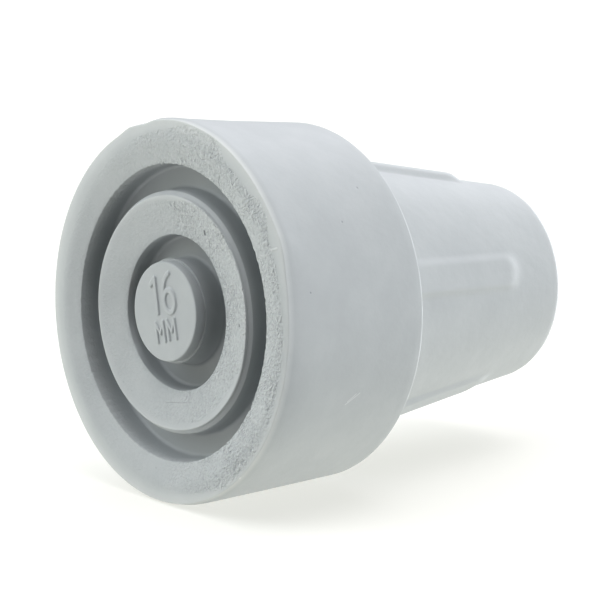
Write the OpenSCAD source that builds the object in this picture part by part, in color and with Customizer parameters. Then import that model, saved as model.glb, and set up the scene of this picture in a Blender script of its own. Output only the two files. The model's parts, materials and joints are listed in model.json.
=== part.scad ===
// Rubber cane tip: a one-piece moulded ferrule that pushes over the end of a walking stick.
// It stands on its tread. Z = 0 is the tread plane, and +Z runs up the socket's axis.

/* [Foot] */
// Diameter of the foot at its widest, just above the rim of its tread
tread_d = 37.8; // [36.2:0.2:43.8]
// Diameter of the foot just below its shoulder
shoulder_d = 36.2; // [33.5:0.1:38]
// Height of the shoulder above the tread
foot_h = 17.5; // [15:0.1:21]
// How far the rim of the tread lies inside the widest part of the foot
rim_inset = 0.2; // [0.1:0.05:0.6]
// Height above the tread at which the foot is widest
rim_h = 1; // [0.6:0.1:1.6]
// Rounding of the tread's rim
rim_round = 0.2; // [0.1:0.05:0.4]
// Rounding of the shoulder's edge
shoulder_round = 0.6; // [0.3:0.1:1.2]

/* [Tread] */
// Width of the outer ring
outer_ring_w = 4.3; // [3.4:0.1:5]
// Width of the outer ring's level part, which the tip stands on, from the foot's widest radius inwards
level_w = 2.1; // [1.8:0.1:3]
// Rise of the outer ring's face from its level part to the groove
outer_ring_dish = 0.5; // [0.1:0.05:0.8]
// Width of the outer groove at its mouth
outer_groove_w = 2.6; // [2:0.1:3.2]
// Width of the middle ring, with its lip
middle_ring_w = 4.3; // [3.4:0.1:4.8]
// How far the outer edge of the middle ring's face lies above the tread plane
middle_ring_recess = 0.6; // [0.2:0.05:0.9]
// Rise of the middle ring's face from its outer edge to its inner edge
middle_ring_dish = 0.75; // [0.1:0.05:1]
// Radial width of the lip round the middle ring
lip_w = 0.4; // [0.2:0.05:0.7]
// Height of the lip round the middle ring
lip_h = 0.65; // [0.4:0.05:1]
// Depth of both grooves, measured from the tread plane
groove_depth = 3.4; // [2.9:0.1:4.5]
// Side slope of the groove walls over their depth
groove_draft = 0.15; // [0.1:0.05:0.35]
// Rounding where the groove walls meet the floor
groove_round = 0.4; // [0.2:0.1:0.6]

/* [Centre boss] */
// Diameter of the boss's face
boss_d = 9.8; // [7.5:0.1:10.4]
// How far the boss's face lies above the tread plane
boss_recess = 0.3; // [0.2:0.05:0.8]
// Height of the upper part of the boss, down to its ledge
boss_step_h = 1; // [0.6:0.05:1.3]
// Width of the ledge round the boss
boss_ledge_w = 0.2; // [0.05:0.05:0.3]

/* [Sleeve] */
// Height of the whole tip
total_h = 45.8; // [44:0.1:56]
// Diameter of the sleeve where it leaves the shoulder
sleeve_root_d = 28.9; // [26:0.1:31]
// Diameter of the sleeve at its mouth
mouth_d = 21.1; // [20.6:0.1:25]
// Rounding of the mouth's outer edge
mouth_round = 1.2; // [0.6:0.1:1.4]
// Fillet between the sleeve and the shoulder
root_fillet = 1.2; // [0.6:0.1:1.6]

/* [Socket] */
// Diameter of the socket, which is the size of stick that it fits
socket_d = 16; // [14:0.1:16.8]
// Depth of the socket
socket_depth = 33; // [26:0.5:36]
// Lead-in at the mouth of the socket
lead_in = 0.8; // [0.3:0.1:1]

/* [Ribs] */
// Number of ribs, evenly spaced round the sleeve
rib_count = 5; // [3:1:8]
// Width of each rib
rib_w = 3.4; // [2.5:0.1:5]
// How far each rib stands out of the sleeve
rib_h = 0.6; // [0.3:0.05:1]
// Height above the tread at which the ribs end
rib_end = 37.6; // [30:0.1:42]
// Length of the slope at the upper end of each rib
rib_ramp = 1.6; // [1:0.1:3]

/* [Hidden] */
$fn = 96;
rubber = "#b4babd";
tread_r = tread_d / 2;
outer_groove_r = tread_r - outer_ring_w;
middle_ring_r = outer_groove_r - outer_groove_w;
inner_groove_r = middle_ring_r - middle_ring_w;
boss_r = boss_d / 2;
boss_ledge_r = boss_r + groove_draft / 2;
boss_foot_r = boss_r + groove_draft + boss_ledge_w;
boss_ledge_z = boss_recess + boss_step_h;
lip_z = middle_ring_recess + lip_h;
middle_ring_inner_z = middle_ring_recess + middle_ring_dish;
socket_floor_z = total_h - socket_depth;
first_rib_turn = 180;
overlap = 1;

// Radius of the plain sleeve at height z
function sleeve_r(z) =
    let (share = (z - foot_h) / (total_h - foot_h))
    (sleeve_root_d + (mouth_d - sleeve_root_d) * share) / 2;

// Radius and height of corner i of a closed outline, counted on past its ends
function corner(corners, i) =
    let (c = corners[(i + len(corners)) % len(corners)])
    [c.x, c.y];

// Unit vector from point p to point q
function towards(p, q) = (q - p) / norm(q - p);

// The two unit vectors along the edges that leave corner i
function edges_at(corners, i) =
    [for (step = [-1, 1]) towards(corner(corners, i), corner(corners, i + step))];

// Half the angle between those two edges
function half_angle(edges) = acos(edges[0] * edges[1]) / 2;

// The two points where a round of radius r meets the edges of corner i
function round_ends(corners, i, r) =
    let (edges = edges_at(corners, i), reach = r / tan(half_angle(edges)))
    [for (edge = edges) corner(corners, i) + edge * reach];

// The centre of that round
function round_centre(corners, i, r) =
    let (edges = edges_at(corners, i), middle = edges[0] + edges[1])
    corner(corners, i) + middle / norm(middle) * r / sin(half_angle(edges));

// A closed outline of [x, y, round]: a round over 0 is taken off the corner, and one under 0 fills it in
module rounded_polygon(corners) {
    places = [0 : len(corners) - 1];
    difference() {
        union() {
            polygon([
                for (i = places)
                    each corners[i].z == 0
                        ? [corner(corners, i)]
                        : round_ends(corners, i, abs(corners[i].z))
            ]);
            for (i = places)
                if (corners[i].z > 0)
                    translate(round_centre(corners, i, corners[i].z))
                        circle(r = corners[i].z);
        }
        for (i = places)
            if (corners[i].z < 0)
                translate(round_centre(corners, i, -corners[i].z))
                    circle(r = -corners[i].z);
    }
}

// Corners of the tread from its centre outwards, each as [radius, height, round]
boss_corners = [
    [0, boss_recess, 0],
    [boss_r, boss_recess, 0],
    [boss_ledge_r, boss_ledge_z, 0],
    [boss_ledge_r + boss_ledge_w, boss_ledge_z, 0],
    [boss_foot_r, groove_depth, -groove_round],
];
middle_ring_corners = [
    [inner_groove_r - groove_draft, groove_depth, -groove_round],
    [inner_groove_r, middle_ring_inner_z, 0],
    [middle_ring_r - lip_w, middle_ring_recess, 0],
    [middle_ring_r, lip_z, 0],
    [middle_ring_r + groove_draft, groove_depth, -groove_round],
];
outer_ring_corners = [
    [outer_groove_r - groove_draft, groove_depth, -groove_round],
    [outer_groove_r, outer_ring_dish, 0],
    [tread_r - level_w, 0, 0],
    [tread_r - rim_inset, 0, rim_round],
    [tread_r, rim_h, 0],
];

// Corners of the outside from the shoulder up to the mouth
sleeve_corners = [
    [shoulder_d / 2, foot_h, shoulder_round],
    [sleeve_r(foot_h), foot_h, -root_fillet],
    [sleeve_r(total_h), total_h, mouth_round],
    [0, total_h, 0],
];

// Foot, tread and sleeve, turned as one shape
module turned_body() {
    rotate_extrude()
        rounded_polygon(concat(boss_corners, middle_ring_corners, outer_ring_corners, sleeve_corners));
}

// One rib up the sleeve, on the side that faces +X
module rib() {
    root_r = sleeve_r(foot_h);
    ramp_z = rib_end - rib_ramp;
    intersection() {
        rotate([90, 0, 0])
            linear_extrude(rib_w, center = true)
                polygon([
                    [sleeve_r(rib_end) - overlap, foot_h - overlap],
                    [root_r + rib_h, foot_h - overlap],
                    [root_r + rib_h, foot_h],
                    [sleeve_r(ramp_z) + rib_h, ramp_z],
                    [sleeve_r(rib_end), rib_end],
                    [sleeve_r(rib_end) - overlap, rib_end],
                ]);
        rotate([0, 90, 0])
            linear_extrude(tread_r)
                union() {
                    translate([-rib_end + rib_w / 2, -rib_w / 2])
                        square([rib_end - rib_w / 2, rib_w]);
                    translate([-rib_end + rib_w / 2, 0])
                        circle(d = rib_w);
                }
    }
}

// Socket for the stick, with its lead-in
module socket() {
    translate([0, 0, socket_floor_z])
        cylinder(d = socket_d, h = socket_depth + overlap);
    translate([0, 0, total_h - lead_in])
        cylinder(r1 = socket_d / 2, r2 = socket_d / 2 + lead_in + overlap, h = lead_in + overlap);
}

module cane_tip() {
    color(rubber)
        difference() {
            union() {
                turned_body();
                for (i = [0 : rib_count - 1])
                    rotate([0, 0, first_rib_turn + i * 360 / rib_count])
                        rib();
            }
            socket();
        }
}

cane_tip();
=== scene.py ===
import json
import math
from functools import partial

import bmesh
import bpy
import numpy as np
from mathutils import Matrix, Vector


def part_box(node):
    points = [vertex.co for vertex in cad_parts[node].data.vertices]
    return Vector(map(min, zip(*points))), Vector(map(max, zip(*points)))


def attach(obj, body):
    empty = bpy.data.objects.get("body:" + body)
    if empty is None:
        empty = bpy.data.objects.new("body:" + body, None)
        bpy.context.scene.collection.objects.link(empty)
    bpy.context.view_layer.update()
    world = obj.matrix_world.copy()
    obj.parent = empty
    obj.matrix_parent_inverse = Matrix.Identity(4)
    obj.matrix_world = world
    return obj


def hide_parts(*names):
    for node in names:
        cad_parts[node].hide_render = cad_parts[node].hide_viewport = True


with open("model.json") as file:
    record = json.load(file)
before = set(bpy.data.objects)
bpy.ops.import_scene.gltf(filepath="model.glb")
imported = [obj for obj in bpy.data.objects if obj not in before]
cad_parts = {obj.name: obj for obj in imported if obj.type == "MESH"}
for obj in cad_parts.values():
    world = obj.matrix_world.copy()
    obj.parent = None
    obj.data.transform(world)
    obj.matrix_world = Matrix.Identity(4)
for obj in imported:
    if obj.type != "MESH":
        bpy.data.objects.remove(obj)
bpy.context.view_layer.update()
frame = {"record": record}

# ---- Camera --------------------------------------------------------------------------------------
# A long lens looks up at the tread from below and from one side. The camera is rolled over, so that
# the tip appears to lie on its flank with one rib towards the lens.

mm = 0.001
aim_at = Vector((0, 0, 17.6)) * mm
camera_distance = 239.6 * mm
camera_azimuth = math.radians(183.5)
camera_drop = math.radians(41.1)
camera_roll = math.radians(84.3)

camera_data = bpy.data.cameras.new("camera")
camera_data.lens = 140.2
camera = bpy.data.objects.new("camera", camera_data)
bpy.context.scene.collection.objects.link(camera)
bpy.context.scene.camera = camera
towards_camera = Vector((
    math.cos(camera_drop) * math.cos(camera_azimuth),
    math.cos(camera_drop) * math.sin(camera_azimuth),
    -math.sin(camera_drop),
))
camera.rotation_mode = "QUATERNION"
upright = (-towards_camera).to_track_quat("-Z", "Y")
camera.rotation_quaternion = upright @ Matrix.Rotation(camera_roll, 3, "Z").to_quaternion()
camera.location = aim_at + towards_camera * camera_distance

# ---- Cane tip: turned body and ribs --------------------------------------------------------------
# One piece of grey rubber, moulded round a core that leaves the socket. The foot, its ringed tread,
# the boss, the shoulder and the tapered sleeve are turned forms, and five ribs run up the sleeve.

# Radii (r), widths (w) and heights above the tread (z and h), in millimetres
total_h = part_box("cane_tip")[1].z / mm
foot_h = 17.55
socket = next(mount for mount in frame["record"]["mounts"] if mount["name"] == "socket")
socket_r = socket["dims"]["r_mm"]
lead_in = 0.8
socket_floor_z = total_h - lead_in - socket["dims"]["length_mm"]
tread_r = 18.9
rim_r = 18.7
rim_z = 0.12
rim_h = 1.0
level_r = 16.8
outer_groove_r = 14.6
outer_ring_inner_z = 0.6
middle_ring_r = 11.6
middle_ring_z = 0.55
middle_ring_inner_z = 1.4
lip_step_r = 11.68
lip_step_z = 0.84
lip_r = 12.0
lip_z = 1.12
inner_groove_r = 7.7
groove_z = 3.4
groove_round = 0.4
draft = 0.15
boss_r = 4.9
boss_face_z = 0.3
boss_cap_r = 4.6
ledge_z = 1.3
ledge_w = 0.2
shoulder_r = 18.17
root_fillet = 1.2
sleeve_root_r = 14.45
mouth_r = 10.55
mouth_round = 1.2
wall_middle_r = (socket_r + mouth_r) / 2
ribs_end = 37.6
turned_columns = 340

# Corners of the section, from the rim of the boss's face outwards, up the outside and down into the
# socket: radius, height, round, and the spacing of the points up to the next corner
wide, close, closer = 3.0, 1.0, 0.55
section_corners = [
    (boss_cap_r, boss_face_z, 0, wide),
    (boss_r, boss_face_z, 0.15, close),
    (boss_r + draft / 2, ledge_z, 0.04, wide),
    (boss_r + draft / 2 + ledge_w, ledge_z, 0.04, close),
    (boss_r + draft + ledge_w, groove_z, groove_round, wide),
    (inner_groove_r - draft, groove_z, groove_round, close),
    (inner_groove_r, middle_ring_inner_z, 0.1, closer),
    (middle_ring_r - 0.35, middle_ring_z + 0.07, 0, close),
    (middle_ring_r, middle_ring_z, 0.1, close),
    (lip_step_r, lip_step_z, 0.03, close),
    (lip_r, lip_z, 0.08, close),
    (lip_r + draft, groove_z, groove_round, wide),
    (outer_groove_r - draft, groove_z, groove_round, close),
    (outer_groove_r, outer_ring_inner_z, 0.08, closer),
    (level_r, 0, 3, closer),
    (rim_r - 0.3, 0.1, 0, closer),
    (rim_r, rim_z, 0.12, closer),
    (tread_r, rim_h, 2, close),
    (shoulder_r, foot_h, 0.3, close),
    (sleeve_root_r, foot_h, root_fillet, closer),
    (mouth_r, total_h, mouth_round, wide),
    (socket_r + lead_in, total_h, 0.15, wide),
    (socket_r, total_h - lead_in, 0.15, wide),
    (socket_r, socket_floor_z, 0.5, wide),
    (0, socket_floor_z, 0, wide),
]

# A small round is divided every 22 degrees, and a wide one every 14
small_round = 0.45
small_round_step = 22
wide_round_step = 14


def edge_directions(here, before, after):
    """Unit vectors from a corner to its neighbours, and half the angle between them."""
    back_edge = (before - here) / np.linalg.norm(before - here)
    on_edge = (after - here) / np.linalg.norm(after - here)
    return back_edge, on_edge, math.acos(back_edge @ on_edge) / 2


def rounded_section(corners):
    """Points of the section, with each corner rounded and each straight stretch divided."""
    points = []
    places = [np.array(corner[:2], float) for corner in corners]
    for i, here in enumerate(places):
        arc = [here]
        rounding = corners[i][2]
        if rounding:
            back_edge, on_edge, half = edge_directions(here, places[i - 1], places[i + 1])
            middle = (back_edge + on_edge) / np.linalg.norm(back_edge + on_edge)
            centre = here + middle * rounding / math.sin(half)
            first = here + back_edge * rounding / math.tan(half) - centre
            last = here + on_edge * rounding / math.tan(half) - centre
            turn = math.atan2(first[0] * last[1] - first[1] * last[0], first @ last)
            step_turn = small_round_step if rounding < small_round else wide_round_step
            steps = max(2, round(abs(math.degrees(turn)) / step_turn))
            spins = [turn * k / steps for k in range(steps + 1)]
            arc = [centre + (first[0] * math.cos(a) - first[1] * math.sin(a),
                             first[0] * math.sin(a) + first[1] * math.cos(a)) for a in spins]
        if points:
            start = points[-1]
            spacing = corners[i - 1][3]
            count = int(np.linalg.norm(arc[0] - start) / spacing)
            points += [start + (arc[0] - start) * k / (count + 1) for k in range(1, count + 1)]
        points += arc
    return np.array(points)


def add_node(tree, kind, inputs=(), **settings):
    """Adds a node with its settings, and sets or links its inputs, given in order or by name."""
    node = tree.nodes.new(kind)
    for name, value in settings.items():
        setattr(node, name, value)
    for key, value in (inputs.items() if isinstance(inputs, dict) else enumerate(inputs)):
        if isinstance(value, bpy.types.Node):
            value = value.outputs[0]
        if isinstance(value, bpy.types.NodeSocket):
            tree.links.new(value, node.inputs[key])
        else:
            node.inputs[key].default_value = value
    return node


def turned_body_tree():
    """A tree that turns a section round Z and raises ribs on the rows that are marked as sleeve."""
    tree = bpy.data.node_groups.new("turned_body_with_ribs", "GeometryNodeTree")
    named_inputs = [
        ("Section", "Geometry"), ("Columns", "Int"), ("Ribs", "Int"), ("Rib Width", "Float"),
        ("Rib Height", "Float"), ("Side Softness", "Float"), ("End Softness", "Float"),
        ("Rib End", "Float"), ("First Rib", "Float"), ("Shoulder Height", "Float"),
        ("Total Height", "Float"), ("Sleeve Root Radius", "Float"), ("Mouth Radius", "Float"),
        ("Material", "Material"),
    ]
    for name, kind in named_inputs:
        tree.interface.new_socket(name, in_out="INPUT", socket_type="NodeSocket" + kind)
    tree.interface.new_socket("Body", in_out="OUTPUT", socket_type="NodeSocketGeometry")
    node = partial(add_node, tree)
    given = node("NodeGroupInput").outputs

    # A grid with a row for each point of the section, and every vertex reads its own row of it
    rows = node("GeometryNodeAttributeDomainSize", [given["Section"]]).outputs["Point Count"]
    columns = node("ShaderNodeMath", [given["Columns"], 1.0], operation="ADD")
    grid = node("GeometryNodeMeshGrid", {"Vertices X": columns, "Vertices Y": rows})
    index = node("GeometryNodeInputIndex")
    row = node("ShaderNodeMath", [index, rows], operation="MODULO")
    column_part = node("ShaderNodeMath", [index, rows], operation="DIVIDE")
    column = node("ShaderNodeMath", [column_part], operation="FLOOR")
    place_there = node("GeometryNodeInputPosition")
    place = node("GeometryNodeSampleIndex",
                 {"Geometry": given["Section"], "Value": place_there, "Index": row},
                 data_type="FLOAT_VECTOR")
    radius, _, height = node("ShaderNodeSeparateXYZ", [place]).outputs
    row_marks = []
    for name in ("on_sleeve", "gathered"):
        mark_there = node("GeometryNodeInputNamedAttribute", {"Name": name}, data_type="FLOAT")
        row_marks.append(node("GeometryNodeSampleIndex",
                              {"Geometry": given["Section"], "Value": mark_there, "Index": row},
                              data_type="FLOAT"))
    on_sleeve, gathered = row_marks

    # Each rib has a sector of its own, and a column's share of it runs from -0.5 to 0.5
    turns = node("ShaderNodeMath", [column, given["Columns"]], operation="DIVIDE")
    sector = node("ShaderNodeMath", [turns, given["Ribs"]], operation="MULTIPLY")
    rib = node("ShaderNodeMath", [sector], operation="ROUND")
    share = node("ShaderNodeMath", [sector, rib], operation="SUBTRACT")
    sector_turn = node("ShaderNodeMath", [2 * math.pi, given["Ribs"]], operation="DIVIDE")
    half_sector = node("ShaderNodeMath", [sector_turn, 0.5], operation="MULTIPLY")

    # Where the rows are marked as gathered, half of the columns lie on the ribs and their soft
    # edges, out to one and a half times the softness, and the other half lie between the ribs
    half_rib = node("ShaderNodeMath", [given["Rib Width"], 0.5], operation="MULTIPLY")
    reach = node("ShaderNodeMath", [given["Side Softness"], 1.5, half_rib],
                 operation="MULTIPLY_ADD")
    above_mouth = node("ShaderNodeMath", [radius, given["Mouth Radius"]], operation="MAXIMUM")
    turn_radius = node("ShaderNodeMath", [above_mouth, given["Sleeve Root Radius"]],
                       operation="MINIMUM")
    reach_sine = node("ShaderNodeMath", [reach, turn_radius], operation="DIVIDE")
    reach_turn = node("ShaderNodeMath", [reach_sine], operation="ARCSINE")
    rest_turn = node("ShaderNodeMath", [half_sector, reach_turn], operation="SUBTRACT")
    size = node("ShaderNodeMath", [share], operation="ABSOLUTE")
    near_turn = node("ShaderNodeMapRange", {"Value": size, "From Max": 0.25, "To Max": reach_turn})
    far_turn = node("ShaderNodeMapRange",
                    {"Value": size, "From Min": 0.25, "From Max": 0.5, "To Max": rest_turn})
    both_turns = node("ShaderNodeMath", [near_turn, far_turn], operation="ADD")
    side = node("ShaderNodeMath", [share], operation="SIGN")
    gathered_turn = node("ShaderNodeMath", [both_turns, side], operation="MULTIPLY")
    even_turn = node("ShaderNodeMath", [share, sector_turn], operation="MULTIPLY")
    turn = node("ShaderNodeMix", {"Factor": gathered, "A": even_turn, "B": gathered_turn})

    # A rib is round-ended in plan, and its edge is softer round the end than along the sides
    sine = node("ShaderNodeMath", [turn], operation="SINE")
    across = node("ShaderNodeMath", [radius, sine], operation="MULTIPLY")
    round_from = node("ShaderNodeMath", [given["Rib End"], half_rib], operation="SUBTRACT")
    beyond = node("ShaderNodeMath", [height, round_from], operation="SUBTRACT")
    along = node("ShaderNodeMath", [beyond, 0.0], operation="MAXIMUM")
    gap = node("ShaderNodeCombineXYZ", [across, along])
    from_line = node("ShaderNodeVectorMath", [gap], operation="LENGTH").outputs["Value"]
    from_edge = node("ShaderNodeMath", [from_line, half_rib], operation="SUBTRACT")
    softness = node("ShaderNodeMapRange", {
        "Value": along, "From Max": half_rib, "To Min": given["Side Softness"],
        "To Max": given["End Softness"]}, interpolation_type="SMOOTHSTEP")
    inside_edge = node("ShaderNodeMath", [softness, -1.0], operation="MULTIPLY")
    plan = node("ShaderNodeMapRange",
                {"Value": from_edge, "From Min": softness, "From Max": inside_edge},
                interpolation_type="SMOOTHSTEP")
    sleeve_radius = node("ShaderNodeMapRange", {
        "Value": height, "From Min": given["Shoulder Height"], "From Max": given["Total Height"],
        "To Min": given["Sleeve Root Radius"], "To Max": given["Mouth Radius"]})
    rib_radius = node("ShaderNodeMath", [given["Rib Height"], sleeve_radius], operation="ADD")
    rise = node("ShaderNodeMath", [rib_radius, radius], operation="SUBTRACT")
    outward = node("ShaderNodeMath", [rise, 0.0], operation="MAXIMUM")
    on_rib = node("ShaderNodeMath", [plan, on_sleeve], operation="MULTIPLY")
    full_radius = node("ShaderNodeMath", [outward, on_rib, radius], operation="MULTIPLY_ADD")

    # The grid is turned round Z and closed, and its first and last columns and its pole are merged
    first_turn = node("ShaderNodeMath", [turn, given["First Rib"]], operation="ADD")
    angle = node("ShaderNodeMath", [rib, sector_turn, first_turn], operation="MULTIPLY_ADD")
    flat = node("ShaderNodeCombineXYZ", [full_radius, 0.0, height])
    position = node("ShaderNodeVectorRotate", {"Vector": flat, "Angle": angle},
                    rotation_type="Z_AXIS")
    turned = node("GeometryNodeSetPosition",
                  {"Geometry": grid.outputs["Mesh"], "Position": position})
    closed = node("GeometryNodeMergeByDistance", {"Geometry": turned, "Distance": 0.001 * mm})
    smooth = node("GeometryNodeSetShadeSmooth", {"Geometry": closed})
    single = node("GeometryNodeRealizeInstances", {"Geometry": smooth})
    body = node("GeometryNodeSetMaterial", {"Geometry": single, "Material": given["Material"]})
    node("NodeGroupOutput", [body])
    return tree


def hex_to_linear(code):
    """The linear colour of an sRGB hex code, with alpha."""
    parts = [int(code[i:i + 2], 16) / 255 for i in (1, 3, 5)]
    return [c / 12.92 if c < 0.04045 else ((c + 0.055) / 1.055) ** 2.4 for c in parts] + [1]


rubber = bpy.data.materials.new("grey_rubber_moulded_and_trimmed")
section = rounded_section(section_corners)
sketch = bpy.data.meshes.new("section")
sketch.from_pydata([(r * mm, 0, z * mm) for r, z in section],
                   [(i, i + 1) for i in range(len(section) - 1)], [])
outside = np.arange(len(section)) > np.argmax(section[:, 0])
sleeve_rows = outside & (section[:, 0] > wall_middle_r) & (section[:, 1] >= foot_h)
flank_share = np.clip((section[:, 1] - rim_h) / (foot_h - rim_h), 0, 1)
for name, values in (("on_sleeve", sleeve_rows), ("gathered", np.where(outside, flank_share, 0))):
    attribute = sketch.attributes.new(name, "FLOAT", "POINT")
    attribute.data.foreach_set("value", np.array(values, np.float32))

cane_tip = bpy.data.objects.new("cane_tip_body", sketch)
bpy.context.scene.collection.objects.link(cane_tip)
body_sizes = {
    "Columns": turned_columns,
    "Ribs": 5,
    "Rib Width": 3.4 * mm,
    "Rib Height": 0.6 * mm,
    "Side Softness": 0.48 * mm,
    "End Softness": 1.1 * mm,
    "Rib End": ribs_end * mm,
    "First Rib": math.radians(180),
    "Shoulder Height": foot_h * mm,
    "Total Height": total_h * mm,
    "Sleeve Root Radius": sleeve_root_r * mm,
    "Mouth Radius": mouth_r * mm,
    "Material": rubber,
}
turning = cane_tip.modifiers.new("turning", "NODES")
turning.node_group = turned_body_tree()
for socket_in in turning.node_group.interface.items_tree:
    if socket_in.in_out == "INPUT" and socket_in.name in body_sizes:
        turning[socket_in.identifier] = body_sizes[socket_in.name]
turned = cane_tip.evaluated_get(bpy.context.evaluated_depsgraph_get())
cane_tip.data = bpy.data.meshes.new_from_object(turned)
cane_tip.modifiers.clear()

# ---- Cane tip: boss face and size mark -----------------------------------------------------------
# The face of the boss closes the body. It carries the stick's size in millimetres, in plain strokes
# that were engraved in the mould and so stand out of the rubber.

mark_h = 0.15
mark_slope = 0.2
digit_w = 0.25
letter_w = 0.17
face_cells = turned_columns // 2
seam_w = 0.05
face_edge_r = boss_cap_r - seam_w
join_gap = 0.002


def arc_points(x, y, x_size, y_size, start, end, steps=18):
    """Points of an elliptical arc, with its angles in degrees."""
    turns = [math.radians(start + (end - start) * k / steps) for k in range(steps + 1)]
    return [(x + x_size * math.cos(a), y + y_size * math.sin(a)) for a in turns]


def letter_m(left, right, top, bottom, dip):
    """The strokes of a capital M."""
    return [(left, bottom), (left, top), ((left + right) / 2, dip), (right, top), (right, bottom)]


# Strokes as they read from below, where the reader's right is towards -X: points and half width
strokes = [
    ([(-1.62, 2.85), (-0.88, 3.45), (-1.04, 0.0)], digit_w),
    (arc_points(1.03, 0.9, 0.8, 1.1, 0, 360), digit_w),
    (arc_points(1.78, 1.2, 1.6, 2.45, 180, 104), digit_w),
    (letter_m(-1.62, -0.46, -0.95, -2.85, -2.05), letter_w),
    (letter_m(0.2, 1.36, -0.9, -2.8, -2.05), letter_w),
]


def mark_height(x, y):
    """How far the mark stands out at points of the face, from the distance to its strokes."""
    raised = np.zeros_like(x)
    for points, width in strokes:
        for (x0, y0), (x1, y1) in zip(points, points[1:]):
            length = (x1 - x0) ** 2 + (y1 - y0) ** 2
            along = np.clip(((x - x0) * (x1 - x0) + (y - y0) * (y1 - y0)) / length, 0, 1)
            gap = np.hypot(x - x0 - along * (x1 - x0), y - y0 - along * (y1 - y0))
            near = np.clip((width + mark_slope / 2 - gap) / mark_slope, 0, 1)
            raised = np.maximum(raised, near * near * (3 - 2 * near))
    return raised * mark_h


# A square grid pulled round into a disc, so that its border meets the turned body evenly
grid_steps = np.linspace(-1, 1, face_cells + 1)
grid_x, grid_y = (axis.ravel() for axis in np.meshgrid(grid_steps, grid_steps, indexing="ij"))
sideways = np.abs(grid_x) > np.abs(grid_y)
longer = np.where(sideways, grid_x, grid_y)
shorter = np.where(sideways, grid_y, grid_x)
quarter = math.pi / 4 * shorter / np.where(longer == 0, 1, longer)
face_turn = np.where(sideways, quarter, math.pi / 2 - quarter)
face_x = face_edge_r * longer * np.cos(face_turn)
face_y = face_edge_r * longer * np.sin(face_turn)
face_points = np.stack([face_x, face_y, boss_face_z - mark_height(-face_x, face_y)], -1)

# The body's own inner rim, and the border of the disc in the same order, from +X round by +Y
rim_turns = np.arange(turned_columns) * 2 * math.pi / turned_columns
rim_points = np.stack([boss_cap_r * np.cos(rim_turns), boss_cap_r * np.sin(rim_turns),
                       np.full(turned_columns, boss_face_z)], -1)
side = face_cells + 1
last = face_cells
border = [last * side + k for k in range(side)]
border += [k * side + last for k in range(last - 1, -1, -1)]
border += list(range(last - 1, -1, -1))
border += [k * side for k in range(1, last)]
start = border.index(last * side + last // 2)
border = border[start:] + border[:start]

# Squares over the disc, and three triangles at each column of the seam between disc and body
face_faces = [(i * side + j, i * side + j + 1, (i + 1) * side + j + 1, (i + 1) * side + j)
              for i in range(last) for j in range(last)]
for k in range(turned_columns):
    outer, next_outer = len(face_points) + k, len(face_points) + (k + 1) % turned_columns
    inner, half_way, next_inner = (border[(2 * k + step) % len(border)] for step in range(3))
    face_faces += [(inner, outer, half_way), (outer, next_outer, half_way),
                   (half_way, next_outer, next_inner)]
face_mesh = bpy.data.meshes.new("boss_face")
face_mesh.from_pydata((np.concatenate([face_points, rim_points]) * mm).tolist(), [], face_faces)

joined = bmesh.new()
joined.from_mesh(cane_tip.data)
joined.from_mesh(face_mesh)
bmesh.ops.remove_doubles(joined, verts=joined.verts, dist=join_gap * mm)
bmesh.ops.recalc_face_normals(joined, faces=joined.faces)
for face in joined.faces:
    face.smooth = True
    face.material_index = 0
joined.to_mesh(cane_tip.data)
joined.free()
cane_tip.data.materials.clear()
cane_tip.data.materials.append(rubber)

# ---- Cane tip: trimmed tread and moulding marks --------------------------------------------------
# After moulding, the faces of the two rings were cut with a blade. It left them granular and not
# quite flat, took two nicks off the rim, and left the edge of the outer groove ragged. The rubber
# has set a little out of true: the rings aren't quite round, and the sleeve leans to one side.

mesh = cane_tip.data
points = np.empty(len(mesh.vertices) * 3)
mesh.vertices.foreach_get("co", points)
points = points.reshape(-1, 3) / mm
radius = np.hypot(points[:, 0], points[:, 1])
azimuth = np.arctan2(points[:, 1], points[:, 0])
around = np.degrees(azimuth) % 360
outward = np.stack([np.cos(azimuth), np.sin(azimuth)], -1)
height = points[:, 2].copy()
rng = np.random.default_rng(16)

# Margins for points that lie on a limit: sideways, in height, and where the next row is close
slack, level_slack, hair = 0.1, 0.05, 0.02


def ramp(values, start, end):
    """A smooth step from 0 at start to 1 at end."""
    share = np.clip((values - start) / (end - start), 0, 1)
    return share * share * (3 - 2 * share)


def waver(angles, lowest, highest):
    """A repeatable wavy line round the tip, about -1 to 1, of waves with that many crests each."""
    counts = np.arange(lowest, highest)
    phases = rng.uniform(0, 2 * math.pi, len(counts))
    return np.cos(np.outer(angles, counts) + phases).sum(1) / math.sqrt(len(counts))


def drawn_round(azimuths, values):
    """Values that are given at some azimuths in degrees, read at the azimuth of every point."""
    return np.interp(around, azimuths, values, period=360)


# By azimuth: the radius out to which the cut is coarse on the outer ring, and on the middle ring
coarse_limits = [
    (60, 17.2, 10.9), (85, 17.6, 11.0), (104, 18.1, 11.0), (112, 18.7, 11.2), (128, 18.8, 11.7),
    (133, 17.9, 11.7), (148, 17.9, 11.7), (152, 18.6, 11.7), (158, 18.5, 11.7), (163, 17.8, 11.7),
    (182, 17.7, 11.7), (192, 17.8, 11.6), (214, 17.9, 11.4), (222, 18.4, 10.9), (242, 18.5, 10.8),
    (252, 18.8, 10.8), (262, 18.2, 10.9), (285, 17.6, 10.9), (320, 17.2, 10.9),
]
fade_before, fade_after = 0.7, 0.3
smoothed = 0.8
on_tread = height < middle_ring_inner_z + level_slack
on_outer_ring = on_tread & (radius > outer_groove_r - slack)
on_middle_ring = (on_tread & (radius > inner_groove_r - slack)
                  & (radius < middle_ring_r + hair))
limit_azimuths, outer_limits, middle_limits = np.array(coarse_limits).T
outer_limit = drawn_round(limit_azimuths, outer_limits)
middle_limit = drawn_round(limit_azimuths, middle_limits)
outer_smooth = ramp(radius, outer_limit - fade_before, outer_limit + fade_after)
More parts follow.
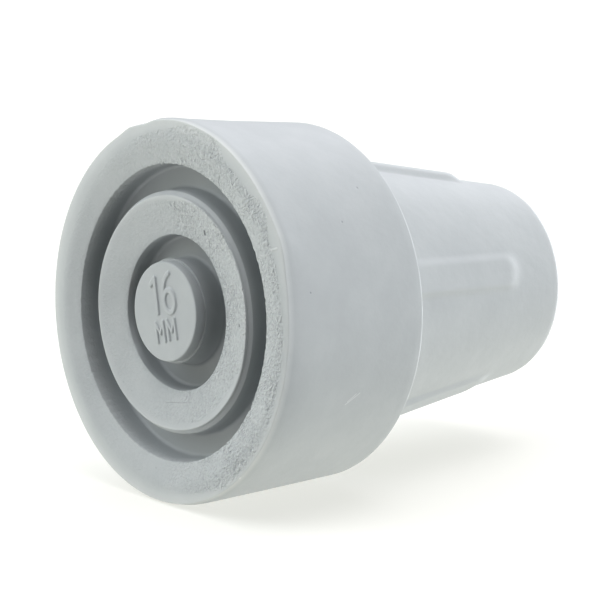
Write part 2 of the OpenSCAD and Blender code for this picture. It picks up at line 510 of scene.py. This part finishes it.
middle_smooth = ramp(radius, middle_limit - fade_after, middle_limit + fade_after)
trimmed = np.where(on_outer_ring, 1 - outer_smooth, 0)
trimmed += on_middle_ring * (1 - smoothed * middle_smooth)

# The cut faces aren't quite level, apart from the rim
ring_waver = 0.05
waver_twist = 0.15
level_from_r, level_to_r = 17.0, 18.4
wave = waver(azimuth + radius * waver_twist, 2, 9)
unlevel = np.where(on_outer_ring, 1 - ramp(radius, level_from_r, level_to_r), 0) + on_middle_ring
points[:, 2] += ring_waver * (0.5 + 0.5 * np.clip(wave, -1, 1)) * unlevel

# Two nicks in the rim, each by the azimuths where it starts, is deepest and ends, and its depth
blade_cuts = [(30, 78.5, 84, 0.2), (84.5, 91.5, 97, 0.24)]
nick_from_r, nick_to_r = 17.2, 18.6
nick_from_z, nick_to_z = 1.2, 3.4
nicks = np.zeros(len(points))
for start, deepest, end, depth in blade_cuts:
    opening = np.clip((around - start) / (deepest - start), 0, 1)
    closing = np.clip((end - around) / (end - deepest), 0, 1)
    nicks = np.maximum(nicks, depth * np.minimum(opening, closing))
inward = nicks * ramp(radius, nick_from_r, nick_to_r) * (1 - ramp(height, nick_from_z, nick_to_z))

# The ragged edge of the outer groove, with one notch
edge_ragged, ragged_w = 0.035, 0.2
notch_azimuth, notch_depth, notch_turn = -134.7, 0.2, 0.014
ragged_edge = on_outer_ring * np.exp(-((radius - outer_groove_r) / ragged_w) ** 2)
notch = notch_depth * np.exp(-((azimuth - math.radians(notch_azimuth)) / notch_turn) ** 2)
inward -= ragged_edge * (edge_ragged * waver(azimuth, 60, 170) + notch)

# Where the cut left the rim, by azimuth: how far it lies outside its circle, and how strong the
# highlight painted along it is
cut_edge_places = [
    (60, 0, 0.3), (98, 0.05, 0.5), (108, 0.13, 0.8), (130, 0.15, 0.9), (150, 0.12, 0.9),
    (160, 0.14, 0.7), (166, 0.26, 0.6), (171, 0.1, 0.3), (177, -0.2, 0.2), (185, -0.36, 0.15),
    (200, -0.44, 0.2), (208, -0.38, 0.6), (216, -0.34, 0.7), (230, -0.24, 0.6), (245, -0.14, 0.7),
    (260, -0.04, 0.5), (275, 0, 0.3),
]
rim_move_w, rim_move_z = 0.75, 2.8
highlight_w, highlight_top_z = 0.2, 0.3
edge_azimuths, edge_offsets, edge_highlights = np.array(cut_edge_places).T
near_edge = ramp(radius, rim_r - rim_move_w, rim_r - slack)
near_edge *= 1 - ramp(height, rim_z, rim_move_z)
inward -= drawn_round(edge_azimuths, edge_offsets) * near_edge
points[:, :2] -= inward[:, None] * outward
# A highlight painted along the cut edge of the rim
pale_rim = np.exp(-((radius - rim_r + slack) / highlight_w) ** 2) * (height < highlight_top_z)
pale_rim *= drawn_round(edge_azimuths, edge_highlights)

# How far each edge of the rings lies off its circle, as waves: crests, height, azimuth of one crest
edge_waves = [
    (inner_groove_r, [(1, 0.07, -27), (2, 0.04, 26), (3, 0.1, 6), (4, 0.03, -10)]),
    (lip_r, [(1, 0.03, -75), (2, 0.05, 20), (3, 0.05, -12), (4, 0.03, -41)]),
    (outer_groove_r, [(1, 0.08, -58), (2, 0.14, -44), (3, 0.06, 0), (4, 0.03, 0)]),
    (rim_r, [(2, 0.12, -58), (3, 0.06, -41)]),
]
rim_border_w = 0.5
flank_true_z = 9
boss_margin, shoulder_margin = 1, 1
edge_radii = [boss_r + boss_margin] + [edge_r for edge_r, _ in edge_waves]
out_of_round = np.zeros(len(points))
for i, (_, waves) in enumerate(edge_waves):
    wander = sum(high * np.cos(crests * (azimuth - math.radians(crest)))
                 for crests, high, crest in waves)
    out_of_round += wander * np.interp(radius, edge_radii, np.eye(len(edge_radii))[i + 1])
out_of_round *= np.where(radius > rim_r - rim_border_w, 1 - ramp(height, rim_h, flank_true_z),
                         1 - ramp(height, lip_z, groove_z))
out_of_round *= height < foot_h - shoulder_margin
points[:, :2] += out_of_round[:, None] * outward

# The ribs as they came out of the mould: even azimuth, turn off it in degrees, share of the full
# height at the root and at the end, and extra length
moulded_ribs = [
    (36, 0, 1, 1, 0), (108, 0, 1.08, 1, 0.8), (180, 0.6, 0.62, 0.42, 0),
    (252, -3.6, 0.95, 0.4, 0), (324, 0, 1, 1, 0),
]
even_ribs, rib_turns, root_shares, end_shares, rib_extras = np.array(moulded_ribs).T
line_margin, end_margin, face_margin, edge_margin = 4, 1, 0.01, 0.3
sleeve_line = section[sleeve_rows & (section[:, 1] < ribs_end + line_margin)]
plain_r = np.interp(height, sleeve_line[:, 1], sleeve_line[:, 0])
on_outside = radius > wall_middle_r
on_sleeve = on_outside & (height > foot_h + face_margin)
on_shoulder = on_outside & (height > foot_h - face_margin) & ~on_sleeve
root_share = drawn_round(even_ribs, root_shares)
end_share = drawn_round(even_ribs, end_shares)
up_rib = np.clip((height - foot_h) / (ribs_end - foot_h), 0, 1)
on_rib = on_sleeve & (radius > plain_r) & (height < ribs_end + end_margin)
new_radius = np.where(
    on_rib, plain_r + (radius - plain_r) * (root_share + (end_share - root_share) * up_rib), radius)

# The extra length is drawn out of the upper end of a rib and taken up again before the mouth
stretch_below, mouth_margin = 8, 2
sleeve_slope = (sleeve_root_r - mouth_r) / (total_h - foot_h)
above_ribs = ramp(height, ribs_end + end_margin, total_h - mouth_margin)
extra = drawn_round(even_ribs, rib_extras) * on_sleeve
extra *= ramp(height, ribs_end - stretch_below, ribs_end - end_margin) * (1 - above_ribs)
new_radius -= extra * sleeve_slope
points[:, 2] += extra

# A rib's turn fades over the shoulder's face and above the rib, so that no row is drawn askew
turn_share = on_sleeve * (1 - above_ribs)
across_shoulder = ramp(radius, sleeve_root_r + root_fillet, shoulder_r - edge_margin)
turn_share += on_shoulder * (1 - across_shoulder)
new_turn = azimuth + np.radians(drawn_round(even_ribs, rib_turns)) * turn_share
turned_place = np.stack([new_radius * np.cos(new_turn), new_radius * np.sin(new_turn)], -1)
points[:, :2] = np.where((turn_share > 0)[:, None], turned_place, points[:, :2])

# The sleeve leans towards +Y
sleeve_lean, lean_full_z, socket_margin = 0.12, 24, 1
leaning = ramp(height, foot_h, lean_full_z) * (radius > socket_r - socket_margin)
points[:, 1] += sleeve_lean * leaning

# Painted light and shade: the faces are painted paler than the grooves, and painted shade darkens
# the deep sides of the grooves and of the boss. The tones run from dark (-1) to light (1), the cut
# faces carry painted light towards +X and +Y, and the faces are also paler towards the rim
face_tone, boss_face_tone = 0.07, 0.02
even_tone, plus_x_painted_light, plus_y_painted_light = 0.02, 0.03, 0.04
border_tone, border_from_r, border_to_r = 0.13, 17.4, 18.3
middle_border_tone, middle_border_w = 0.06, 0.2
groove_painted_shade, wall_painted_shade, minus_x_painted_shade, floor_painted_shadow = 0.08, 0.12, 0.1, 0.2
boss_painted_shade, boss_shade_top_z = 0.25, 0.7
upper_wall_z, middle_wall_z, near_floor_z = 1.8, 2.2, 3.2
in_grooves = (radius < outer_groove_r + slack) & (height < groove_z + slack)
on_faces = (height < outer_ring_inner_z + level_slack) & (radius < rim_r + hair)
on_boss = radius < boss_r + draft + ledge_w
in_inner_groove = radius < inner_groove_r + slack
down_wall = ramp(height, lip_z, upper_wall_z)
to_minus_x = np.clip(-np.cos(azimuth), 0, 1) ** 2
to_minus_y = np.clip(-np.sin(azimuth), 0, 1) ** 2
rubbed = face_tone + border_tone * ramp(radius, border_from_r, border_to_r)
rubbed += middle_border_tone * (radius > middle_ring_r - middle_border_w) * on_middle_ring
# Painted light on the cut faces, stronger towards +X and +Y
rubbed += ((even_tone + plus_x_painted_light * np.cos(azimuth) + plus_y_painted_light * np.sin(azimuth))
           * (on_outer_ring | on_middle_ring))
# Painted shade in the grooves, deepening down their walls
rubbed = np.where(in_grooves, rubbed - groove_painted_shade * ramp(height, lip_z, middle_wall_z), rubbed)
rubbed -= wall_painted_shade * down_wall * (radius < lip_r + draft + slack)
# Painted shade down the groove walls on the -X side
rubbed -= minus_x_painted_shade * down_wall * to_minus_x
# A painted shadow on the floor of the inner groove, towards -Y
rubbed -= floor_painted_shadow * ramp(height, middle_wall_z, near_floor_z) * to_minus_y * in_inner_groove
# Painted shade down the walls of the inner groove
rubbed -= wall_painted_shade * ramp(height, middle_ring_inner_z, middle_wall_z) * in_inner_groove
# Painted shade down the sides of the boss
boss_tone = boss_face_tone - boss_painted_shade * ramp(height, boss_face_z + level_slack, boss_shade_top_z)
rubbed = np.where(on_boss, boss_tone, rubbed) * (in_grooves | on_faces)

# The boss stands a little off the centre, and nothing reaches below the tread's plane
boss_shift = (0.36, 0.2)
boss_share = (1 - ramp(height, middle_wall_z, near_floor_z)) * on_boss
points[:, 0] += boss_shift[0] * boss_share
points[:, 1] += boss_shift[1] * boss_share
points[:, 2] = np.maximum(points[:, 2], 0)

mesh.vertices.foreach_set("co", (points * mm).ravel())
for name, values in (("trimmed", trimmed), ("pale_rim", pale_rim), ("rubbed", rubbed)):
    attribute = mesh.attributes.new(name, "FLOAT", "POINT")
    attribute.data.foreach_set("value", np.array(values, np.float32))
mesh.update()

# ---- Cane tip: rubber ----------------------------------------------------------------------------
# Grey filled rubber. Where the mould shaped it, it is smooth, dull and faintly clouded with dust.
# Where the blade cut it, it is granular, with pores and short tears that run round the rings.

# Heights and depths in millimetres
grain_height = 0.26
tear_depth = 0.05
pore_depth = 0.1
mould_unevenness = 0.03

# Scales of the patterns, in repeats for each millimetre. The grain is about 0.3 mm across, a pore
# lies in about one of six cells of 0.8 mm, and the clouds of dust are some 5 mm wide.
grain_scale = 3.6
tear_scale = 2.6
pore_scale = 1.3
border_scale = 0.9
mould_scale = 0.9
patch_scale = 0.28
cloud_scale = 0.22
side_scale = 0.16

# How uneven the border of the cut is, how far in millimetres the coarse side's border wanders, and
# the share of the cells that have no pore
border_unevenness = 0.7
side_wander = 14.0
poreless_share = 0.84

# Tones from dark (-1) to light (1)
grain_contrast = 0.6
cloud_contrast = 0.04
tear_tone = -0.18
pore_tone = -0.4
rim_highlight_strength = 0.3

rubber.use_nodes = True
node = partial(add_node, rubber.node_tree)
shader = rubber.node_tree.nodes["Principled BSDF"]
shader.inputs["IOR"].default_value = 1.5

# Place in millimetres, and a copy with its x and y on one circle, in which patterns stretch along
# the rings
circle_r = 9.0
coordinates = node("ShaderNodeTexCoord").outputs["Object"]
place = node("ShaderNodeVectorMath", {0: coordinates, "Scale": 1 / mm}, operation="SCALE")
x, y, z = node("ShaderNodeSeparateXYZ", [place]).outputs
flat_place = node("ShaderNodeCombineXYZ", [x, y])
from_axis = node("ShaderNodeVectorMath", [flat_place], operation="LENGTH").outputs["Value"]
heading = node("ShaderNodeVectorMath", [flat_place], operation="NORMALIZE")
on_circle = node("ShaderNodeVectorMath", {0: heading, "Scale": circle_r}, operation="SCALE")
across_rings = node("ShaderNodeCombineXYZ", [0.0, 0.0, from_axis])
along_rings = node("ShaderNodeVectorMath", [on_circle, across_rings], operation="ADD")

# The cut faces, with an uneven border. The cut is coarse towards -X, where the blade came out, and
# clean on the other side.
border_noise = node("ShaderNodeTexNoise", {"Vector": place, "Scale": border_scale, "Detail": 4.0})
border_shift = node("ShaderNodeMath", [border_noise, 0.5], operation="SUBTRACT")
cut_share = node("ShaderNodeAttribute", attribute_name="trimmed").outputs["Fac"]
cut_edge = node("ShaderNodeMath", [border_shift, border_unevenness, cut_share],
                operation="MULTIPLY_ADD")
cut = node("ShaderNodeMapRange", {"Value": cut_edge, "From Min": 0.4, "From Max": 0.6})
side_noise = node("ShaderNodeTexNoise", {"Vector": place, "Scale": side_scale, "Detail": 2.0})
side_shift = node("ShaderNodeMath", [side_noise, side_wander, x], operation="MULTIPLY_ADD")
coarse_side = node("ShaderNodeMapRange", {
    "Value": side_shift, "From Min": 13.0, "From Max": 0.0, "To Min": 0.2, "To Max": 1.0},
    interpolation_type="SMOOTHSTEP")
patch_noise = node("ShaderNodeTexNoise", {"Vector": place, "Scale": patch_scale, "Detail": 1.0})
patches = node("ShaderNodeMapRange", {
    "Value": patch_noise, "From Min": 0.35, "From Max": 0.65, "To Min": 0.55, "To Max": 1.2})
patchy_side = node("ShaderNodeMath", [patches, coarse_side], operation="MULTIPLY")
coarse = node("ShaderNodeMath", [cut, patchy_side], operation="MULTIPLY")

# Grain, short tears and pores of the cut faces
grain = node("ShaderNodeTexNoise", {
    "Vector": place, "Scale": grain_scale, "Detail": 1.0, "Roughness": 0.5, "Distortion": 0.5})
tear_noise = node("ShaderNodeTexNoise", {
    "Vector": along_rings, "Scale": tear_scale, "Detail": 1.0, "Distortion": 0.4})
tears_all = node("ShaderNodeMapRange", {"Value": tear_noise, "From Min": 0.36, "From Max": 0.26})
tears = node("ShaderNodeMath", [tears_all, coarse], operation="MULTIPLY")
pore_cells = node("ShaderNodeTexVoronoi", {
    "Vector": along_rings, "Scale": pore_scale, "Randomness": 1.0})
pore_gap = node("ShaderNodeMapRange", {
    "Value": pore_cells.outputs["Distance"], "From Min": 0.14, "From Max": 0.05})
pore_lot = node("ShaderNodeSeparateColor", [pore_cells.outputs["Color"]])
pore_here = node("ShaderNodeMath", [pore_lot, poreless_share], operation="GREATER_THAN")
pores_all = node("ShaderNodeMath", [pore_gap, pore_here], operation="MULTIPLY")
pores = node("ShaderNodeMath", [pores_all, coarse], operation="MULTIPLY")

# Heights in millimetres: faint unevenness from the mould everywhere, then the marks of the cut
mould_noise = node("ShaderNodeTexNoise", {
    "Vector": place, "Scale": mould_scale, "Detail": 5.0, "Roughness": 0.6})
mould_height = node("ShaderNodeMath", [mould_noise, mould_unevenness], operation="MULTIPLY")
grain_centred = node("ShaderNodeMath", [grain, 0.5], operation="SUBTRACT")
grain_amount = node("ShaderNodeMath", [coarse, grain_height], operation="MULTIPLY")
with_grain = node("ShaderNodeMath", [grain_centred, grain_amount, mould_height],
                  operation="MULTIPLY_ADD")
with_tears = node("ShaderNodeMath", [tears, -tear_depth, with_grain], operation="MULTIPLY_ADD")
surface = node("ShaderNodeMath", [pores, -pore_depth, with_tears], operation="MULTIPLY_ADD")

# Tones: faint clouds of dust, the painted light and shade of the faces, grooves and boss, darker
# tears, and pores darkened with painted shade
cloud = node("ShaderNodeTexNoise", {
    "Vector": place, "Scale": cloud_scale, "Detail": 5.0, "Roughness": 0.6})
cloud_tone = node("ShaderNodeMapRange", {
    "Value": cloud, "From Min": 0.3, "From Max": 0.7, "To Min": -cloud_contrast,
    "To Max": cloud_contrast})
grain_tone = node("ShaderNodeMath", [grain_centred, grain_contrast], operation="MULTIPLY")
cut_tone = node("ShaderNodeMath", [grain_tone, coarse, cloud_tone], operation="MULTIPLY_ADD")
rubbed = node("ShaderNodeAttribute", attribute_name="rubbed").outputs["Fac"]
painted_shading_tone = node("ShaderNodeMath", [rubbed, cut_tone], operation="ADD")
torn_tone = node("ShaderNodeMath", [tears, tear_tone, painted_shading_tone], operation="MULTIPLY_ADD")
# Pores are darkened with painted shade
tone = node("ShaderNodeMath", [pores, pore_tone, torn_tone], operation="MULTIPLY_ADD")

# Marks by their ends in millimetres, half width, height, and tone from dark (-1) to light (1)
marks = [
    ((-6.64, 7.01, 0.98), (-6.6, 6.8, 0.98), 0.16, -0.12, -1.0),
    ((-10.02, -2.39, 0.84), (-10.05, -2.5, 0.84), 0.11, -0.08, -0.9),
    ((5.22, -14.84, 0.25), (5.3, -14.8, 0.25), 0.1, -0.05, -0.8),
    ((3.09, -8.62, 1.09), (-0.87, -8.99, 1.12), 0.06, -0.03, -0.15),
    ((-16.95, 3.8, 0.0), (-17.8, 3.84, 0.02), 0.12, 0.04, 0.28),
    ((-7.8, -16.91, 0.1), (-7.9, -16.86, 0.1), 0.16, 0.04, 1.0),
    ((-18.86, -0.58, 2.56), (-18.86, -0.6, 2.6), 0.1, -0.05, -0.7),
    ((-15.86, 9.21, 12.91), (-15.84, 9.24, 12.95), 0.12, -0.04, -0.3),
    ((-17.6, 5.86, 8.76), (-17.6, 5.9, 8.8), 0.1, -0.04, -0.3),
    ((-14.76, -11.27, 8.45), (-15.33, -10.34, 10.03), 0.05, 0.03, 0.4),
    ((-14.94, -11.02, 8.63), (-15.33, -10.38, 9.56), 0.05, 0.03, 0.35),
]
mark_softness = 0.5
mark_contrast = 0.7
for start_at, end_at, half_width, rise_there, tone_there in marks:
    run = Vector(end_at) - Vector(start_at)
    offset = node("ShaderNodeVectorMath", [place, start_at], operation="SUBTRACT")
    along_run = node("ShaderNodeVectorMath", [offset, run], operation="DOT_PRODUCT")
    share = node("ShaderNodeMath", [along_run.outputs["Value"], 1 / run.length_squared],
                 operation="MULTIPLY", use_clamp=True)
    nearest = node("ShaderNodeVectorMath", {0: run, "Scale": share}, operation="SCALE")
    gap = node("ShaderNodeVectorMath", [offset, nearest], operation="DISTANCE").outputs["Value"]
    near = node("ShaderNodeMapRange", {
        "Value": gap, "From Min": half_width * (1 + mark_softness),
        "From Max": half_width * (1 - mark_softness)}, interpolation_type="SMOOTHSTEP")
    surface = node("ShaderNodeMath", [near, rise_there, surface], operation="MULTIPLY_ADD")
    tone = node("ShaderNodeMath", [near, tone_there * mark_contrast, tone],
                operation="MULTIPLY_ADD")

darker = node("ShaderNodeMapRange", {"Value": tone, "From Min": 0.0, "From Max": -1.0})
lighter = node("ShaderNodeMapRange", {"Value": tone, "From Min": 0.0, "From Max": 1.0})
plain_tone = hex_to_linear("#9DA1A3")
darkened = node("ShaderNodeMix", {0: darker, 6: plain_tone, 7: hex_to_linear("#3A3F41")},
                data_type="RGBA")
toned = node("ShaderNodeMix", {0: lighter, 6: darkened.outputs[2], 7: hex_to_linear("#E4E6E4")},
             data_type="RGBA")

# The cut edge of the rim carries a painted highlight, and cut rubber is a little duller than
# moulded
pale_rim = node("ShaderNodeAttribute", attribute_name="pale_rim").outputs["Fac"]
highlight_part = node("ShaderNodeMath", [pale_rim, rim_highlight_strength], operation="MULTIPLY")
coloured = node("ShaderNodeMix", {0: highlight_part, 6: toned.outputs[2], 7: hex_to_linear("#C3C5BF")},
                data_type="RGBA")
dullness = node("ShaderNodeMapRange", {"Value": cut, "To Min": 0.55, "To Max": 0.7})
relief = node("ShaderNodeBump", {"Strength": 1.0, "Distance": mm, "Height": surface})
rubber.node_tree.links.new(coloured.outputs[2], shader.inputs["Base Color"])
rubber.node_tree.links.new(dullness.outputs[0], shader.inputs["Roughness"])
rubber.node_tree.links.new(relief.outputs[0], shader.inputs["Normal"])

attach(cane_tip, "root")
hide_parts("cane_tip")

# ---- Stage and light -----------------------------------------------------------------------------
# Plain white paper lies under the standing tip, and another sheet touches its flank, where the
# camera sees it as a table. Each sheet is seen from its own side only. Soft light comes from all
# round.

table_up = Vector((-0.267, 0.962, -0.052)).normalized()
table_drop = 19.0 * mm
floor_drop = 0.02 * mm
sheet_reach = 1.5
paper = bpy.data.materials.new("white_paper")
paper.use_nodes = True
paper.node_tree.nodes.clear()
node = partial(add_node, paper.node_tree)
behind = node("ShaderNodeNewGeometry").outputs["Backfacing"]
lit = node("ShaderNodeBsdfDiffuse", {"Color": hex_to_linear("#A0A09E")})
glow = node("ShaderNodeEmission", {"Color": hex_to_linear("#CACAC5")})
bright = node("ShaderNodeAddShader", [lit, glow])
clear = node("ShaderNodeBsdfTransparent")
one_sided = node("ShaderNodeMixShader", [behind, bright, clear])
node("ShaderNodeOutputMaterial", [one_sided])

sheets = {"floor": (Vector((0, 0, 1)), floor_drop), "table": (table_up, table_drop)}
for name, (up, drop) in sheets.items():
    across = up.orthogonal().normalized()
    along = up.cross(across)
    outline = [across + along, along - across, -across - along, across - along]
    sheet_mesh = bpy.data.meshes.new(name)
    corners = [corner * sheet_reach - up * drop for corner in outline]
    sheet_mesh.from_pydata(corners, [], [(0, 1, 2, 3)])
    sheet_mesh.materials.append(paper)
    sheet = bpy.data.objects.new(name, sheet_mesh)
    bpy.context.scene.collection.objects.link(sheet)
    sheet.visible_diffuse = False
    sheet.visible_glossy = False
    sheet.visible_transmission = False
    sheet.visible_shadow = False

# Soft lamps all round: the direction of each, and its red, green and blue strength
lamps = [
    ((0.19, 0, 0.98), (9.6, 9.9, 10.3)),
    ((0.04, -0.41, 0.91), (1.3, 1.2, 0.9)),
    ((0.24, 0.77, 0.59), (3, 3, 3.2)),
    ((0.22, -0.96, 0.16), (4, 4, 3.4)),
    ((-0.93, -0.29, 0.2), (7.2, 7.4, 7.5)),
    ((-0.39, 0.92, 0.02), (6.8, 6.7, 6.7)),
    ((0.97, -0.08, -0.23), (2.8, 2.8, 2.5)),
    ((0.73, -0.55, -0.41), (3.3, 3.4, 3.3)),
    ((0.29, 0.72, -0.62), (4.8, 5.0, 5.2)),
    ((0.49, 0.34, -0.8), (2, 2.1, 1.9)),
    ((0.31, -0.37, -0.88), (1.5, 1.5, 1.5)),
]
lamp_focus = 14.0
world = bpy.data.worlds.new("studio")
world.use_nodes = True
node = partial(add_node, world.node_tree)
looked_along = node("ShaderNodeTexCoord").outputs["Generated"]
facing = node("ShaderNodeVectorMath", [looked_along], operation="NORMALIZE")
light = (0.0, 0.0, 0.0)
for direction, strength in lamps:
    lamp_axis = Vector(direction).normalized()
    towards = node("ShaderNodeVectorMath", [facing, lamp_axis], operation="DOT_PRODUCT")
    in_front = node("ShaderNodeMath", [towards.outputs["Value"], 0.0], operation="MAXIMUM")
    glow = node("ShaderNodeMath", [in_front, lamp_focus], operation="POWER")
    light = node("ShaderNodeVectorMath", [glow, strength, light], operation="MULTIPLY_ADD")
world.node_tree.links.new(light.outputs[0], world.node_tree.nodes["Background"].inputs["Color"])
bpy.context.scene.world = world
bpy.context.scene.view_settings.view_transform = "Standard"
